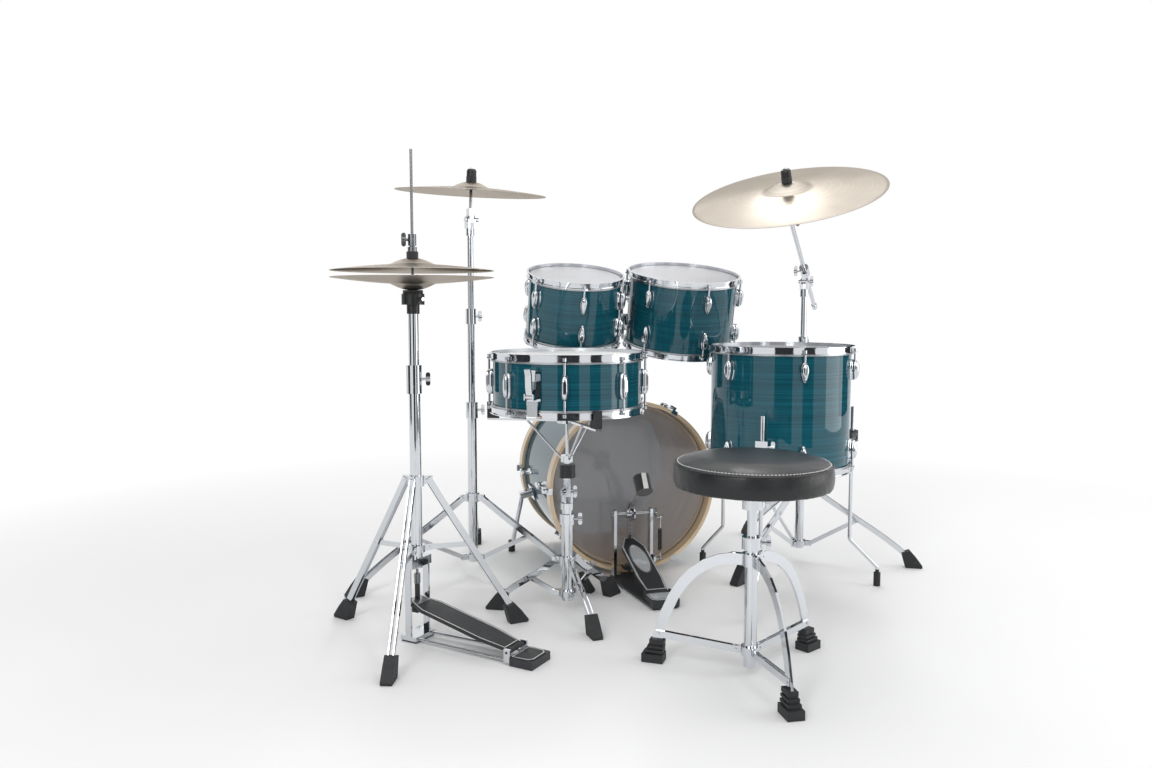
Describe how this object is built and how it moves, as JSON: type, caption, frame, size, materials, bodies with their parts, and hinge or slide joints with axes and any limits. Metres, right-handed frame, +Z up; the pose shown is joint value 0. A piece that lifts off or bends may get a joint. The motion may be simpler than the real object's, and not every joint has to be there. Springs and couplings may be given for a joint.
{
  "type": "acoustic drum kit",
  "caption": "Acoustic drum kit with bass drum, toms, snare, hi-hat, crash and ride cymbals on tripod stands, foot pedals and a round padded throne; teal lacquer shells and chrome hardware.",
  "frame": {"origin": "on the floor under the middle of the kit outline", "axes": "+X to the seated drummer's right, +Y from the drummer through the bass drum, +Z up"},
  "size_m": [1.6432, 1.4214, 1.1447],
  "materials": {
    "lacquered_shell": "glossy teal lacquer with fine streaks",
    "chrome_steel": "polished chrome",
    "drumhead_film": "thin plastic film",
    "clear_film": "clear plastic film",
    "natural_wood": "satin lacquered wood",
    "cymbal_bronze": "lathed bronze",
    "black_rubber": "matte",
    "black_plastic": "matte black",
    "black_vinyl": "padded vinyl",
    "black_metal": "satin black",
    "steel_wire": "plain steel"
  },
  "bodies": {
    "kit": {"bass_shell": "lacquered_shell", "bass_hoops": "natural_wood", "bass_heads": "clear_film", "bass_fittings": "chrome_steel", "floor_tom_shell": "lacquered_shell", "floor_tom_hoops": "chrome_steel", "floor_tom_heads": "drumhead_film", "floor_tom_fittings": "chrome_steel", "snare_stand_tripod": "chrome_steel", "hihat_tripod": "chrome_steel", "crash_tripod": "chrome_steel", "ride_tripod": "chrome_steel", "throne_tripod": "chrome_steel", "rubber_feet": "black_rubber", "pedal_frame": "chrome_steel", "pedal_chain": "steel_wire", "pedal_spring": "black_metal"},
    "spur_left": {"spur_left": "chrome_steel"},
    "spur_right": {"spur_right": "chrome_steel"},
    "tom_mount_post": {"tom_mount_post": "chrome_steel"},
    "small_tom": {"small_tom_arm": "chrome_steel", "small_tom_shell": "lacquered_shell", "small_tom_hoops": "chrome_steel", "small_tom_heads": "drumhead_film", "small_tom_lugs": "chrome_steel"},
    "large_tom": {"large_tom_arm": "chrome_steel", "large_tom_shell": "lacquered_shell", "large_tom_hoops": "chrome_steel", "large_tom_heads": "drumhead_film", "large_tom_lugs": "chrome_steel"},
    "floor_tom_legs": {"floor_tom_legs": "chrome_steel"},
    "snare_stand_post": {"snare_stand_post": "chrome_steel"},
    "snare": {"snare_basket": "chrome_steel", "snare_shell": "lacquered_shell", "snare_hoops": "chrome_steel", "snare_heads": "drumhead_film", "snare_lugs": "chrome_steel", "snare_strainer": "chrome_steel", "snare_wires": "steel_wire"},
    "strainer_lever": {"strainer_lever": "chrome_steel"},
    "hihat_tube": {"hihat_upper_tube": "chrome_steel", "hihat_seat_cup": "black_plastic", "hihat_bottom_cymbal": "cymbal_bronze"},
    "hihat_rod": {"hihat_pull_rod": "chrome_steel", "hihat_top_cymbal": "cymbal_bronze"},
    "hihat_footboard": {"hihat_footboard": "black_metal"},
    "crash_middle_tube": {"crash_middle_tube": "chrome_steel"},
    "crash_upper_tube": {"crash_upper_tube": "chrome_steel"},
    "crash_tilter": {"crash_tilter": "chrome_steel"},
    "crash_cymbal": {"crash_cymbal": "cymbal_bronze"},
    "ride_middle_tube": {"ride_middle_tube": "chrome_steel"},
    "ride_upper_tube": {"ride_upper_tube": "chrome_steel"},
    "ride_boom_clamp": {"ride_boom_clamp": "chrome_steel"},
    "ride_boom_arm": {"ride_boom_arm": "chrome_steel"},
    "ride_cymbal": {"ride_cymbal": "cymbal_bronze"},
    "throne_post": {"throne_post": "chrome_steel"},
    "throne_seat": {"throne_seat_bracket": "chrome_steel", "throne_seat": "black_vinyl"},
    "pedal_footboard": {"pedal_footboard": "black_metal"},
    "pedal_beater": {"pedal_beater": "chrome_steel"}
  },
  "joints": [
    {"name": "spur_left_fold", "type": "hinge", "parent": "kit", "child": "spur_left", "pos_m": [-0.25749, 0.53027, 0.1815], "axis": [0.9659, 0, 0.2588], "range_deg": [0, 70]},
    {"name": "spur_right_fold", "type": "hinge", "parent": "kit", "child": "spur_right", "pos_m": [0.2389, 0.53027, 0.1815], "axis": [0.9659, 0, -0.2588], "range_deg": [0, 70]},
    {"name": "tom_post_height", "type": "slide", "parent": "kit", "child": "tom_mount_post", "axis": [0, 0, 1], "range_m": [0, 0.04]},
    {"name": "small_tom_tilt", "type": "hinge", "parent": "tom_mount_post", "child": "small_tom", "pos_m": [-0.0053, 0.43727, 0.7], "axis": [1, 0, 0], "range_deg": [-6, 6]},
    {"name": "large_tom_tilt", "type": "hinge", "parent": "tom_mount_post", "child": "large_tom", "pos_m": [-0.0053, 0.43727, 0.7], "axis": [1, 0, 0], "range_deg": [-6, 6]},
    {"name": "floor_tom_leg_height", "type": "slide", "parent": "kit", "child": "floor_tom_legs", "axis": [0, 0, 1], "range_m": [0, 0.05]},
    {"name": "snare_stand_height", "type": "slide", "parent": "kit", "child": "snare_stand_post", "axis": [0, 0, 1], "range_m": [-0.008, 0.08]},
    {"name": "snare_tilt", "type": "hinge", "parent": "snare_stand_post", "child": "snare", "pos_m": [-0.2658, -0.02903, 0.3], "axis": [0.9949, 0.1011, 0], "range_deg": [-5, 5]},
    {"name": "strainer_throw", "type": "hinge", "parent": "snare", "child": "strainer_lever", "pos_m": [-0.39083, -0.18622, 0.5505], "axis": [0.7826, -0.6225, 0], "range_deg": [0, 95]},
    {"name": "hihat_height", "type": "slide", "parent": "kit", "child": "hihat_tube", "axis": [0, 0, 1], "range_m": [-0.1, 0]},
    {"name": "hihat_footboard_hinge", "type": "hinge", "parent": "kit", "child": "hihat_footboard", "pos_m": [-0.44639, -0.29149, 0.026], "axis": [-0.6934, -0.7206, 0], "range_deg": [0, 2.5], "stiffness_Nm_per_rad": 25, "springref_deg": -20.05},
    {"name": "hihat_rod_pull", "type": "slide", "parent": "kit", "child": "hihat_rod", "axis": [0, 0, 1], "range_m": [-0.01149, 0]},
    {"name": "crash_lower_height", "type": "slide", "parent": "kit", "child": "crash_middle_tube", "axis": [0, 0, 1], "range_m": [-0.06, 0.06]},
    {"name": "crash_upper_height", "type": "slide", "parent": "crash_middle_tube", "child": "crash_upper_tube", "axis": [0, 0, 1], "range_m": [-0.06, 0.06]},
    {"name": "ride_lower_height", "type": "slide", "parent": "kit", "child": "ride_middle_tube", "axis": [0, 0, 1], "range_m": [-0.06, 0.06]},
    {"name": "ride_upper_height", "type": "slide", "parent": "ride_middle_tube", "child": "ride_upper_tube", "axis": [0, 0, 1], "range_m": [-0.06, 0.06]},
    {"name": "crash_tilt", "type": "hinge", "parent": "crash_upper_tube", "child": "crash_tilter", "pos_m": [-0.4421, 0.34457, 0.985], "axis": [0.9092, 0.4163, 0], "range_deg": [-12, 12]},
    {"name": "crash_spin", "type": "hinge", "parent": "crash_tilter", "child": "crash_cymbal", "pos_m": [-0.4421, 0.34457, 0.985], "axis": [0.0329, -0.0718, 0.9969], "continuous": true},
    {"name": "ride_boom_tilt", "type": "hinge", "parent": "ride_upper_tube", "child": "ride_boom_clamp", "pos_m": [0.5108, 0.24227, 0.822], "axis": [-0.7683, 0.6401, 0], "range_deg": [-3, 20]},
    {"name": "ride_boom_reach", "type": "slide", "parent": "ride_boom_clamp", "child": "ride_boom_arm", "axis": [-0.5428, -0.6515, 0.5299], "range_m": [-0.03, 0.06]},
    {"name": "ride_spin", "type": "hinge", "parent": "ride_boom_arm", "child": "ride_cymbal", "pos_m": [0.38161, 0.0872, 0.97812], "axis": [-0.2828, -0.2883, 0.9148], "continuous": true},
    {"name": "throne_height", "type": "slide", "parent": "kit", "child": "throne_post", "axis": [0, 0, 1], "range_m": [-0.05, 0.1]},
    {"name": "throne_swivel", "type": "hinge", "parent": "throne_post", "child": "throne_seat", "pos_m": [0.00541, -0.48403, 0.4], "axis": [0, 0, 1], "continuous": true},
    {"name": "pedal_footboard_hinge", "type": "hinge", "parent": "kit", "child": "pedal_footboard", "pos_m": [-0.0243, -0.01273, 0.024], "axis": [-1, 0, 0], "range_deg": [0, 7.05], "stiffness_Nm_per_rad": 6, "springref_deg": -17.19},
    {"name": "pedal_beater_swing", "type": "hinge", "parent": "kit", "child": "pedal_beater", "pos_m": [-0.0243, 0.19227, 0.185], "axis": [-1, 0, 0], "range_deg": [0, 63.75], "deforming": ["pedal_chain", "pedal_spring"]}
  ],
  "couplings": [
    {"joint": "hihat_rod_pull", "follows": "hihat_footboard_hinge", "m_per_rad": -0.263},
    {"joint": "pedal_beater_swing", "follows": "pedal_footboard_hinge", "ratio": 9.0392}
  ]
}
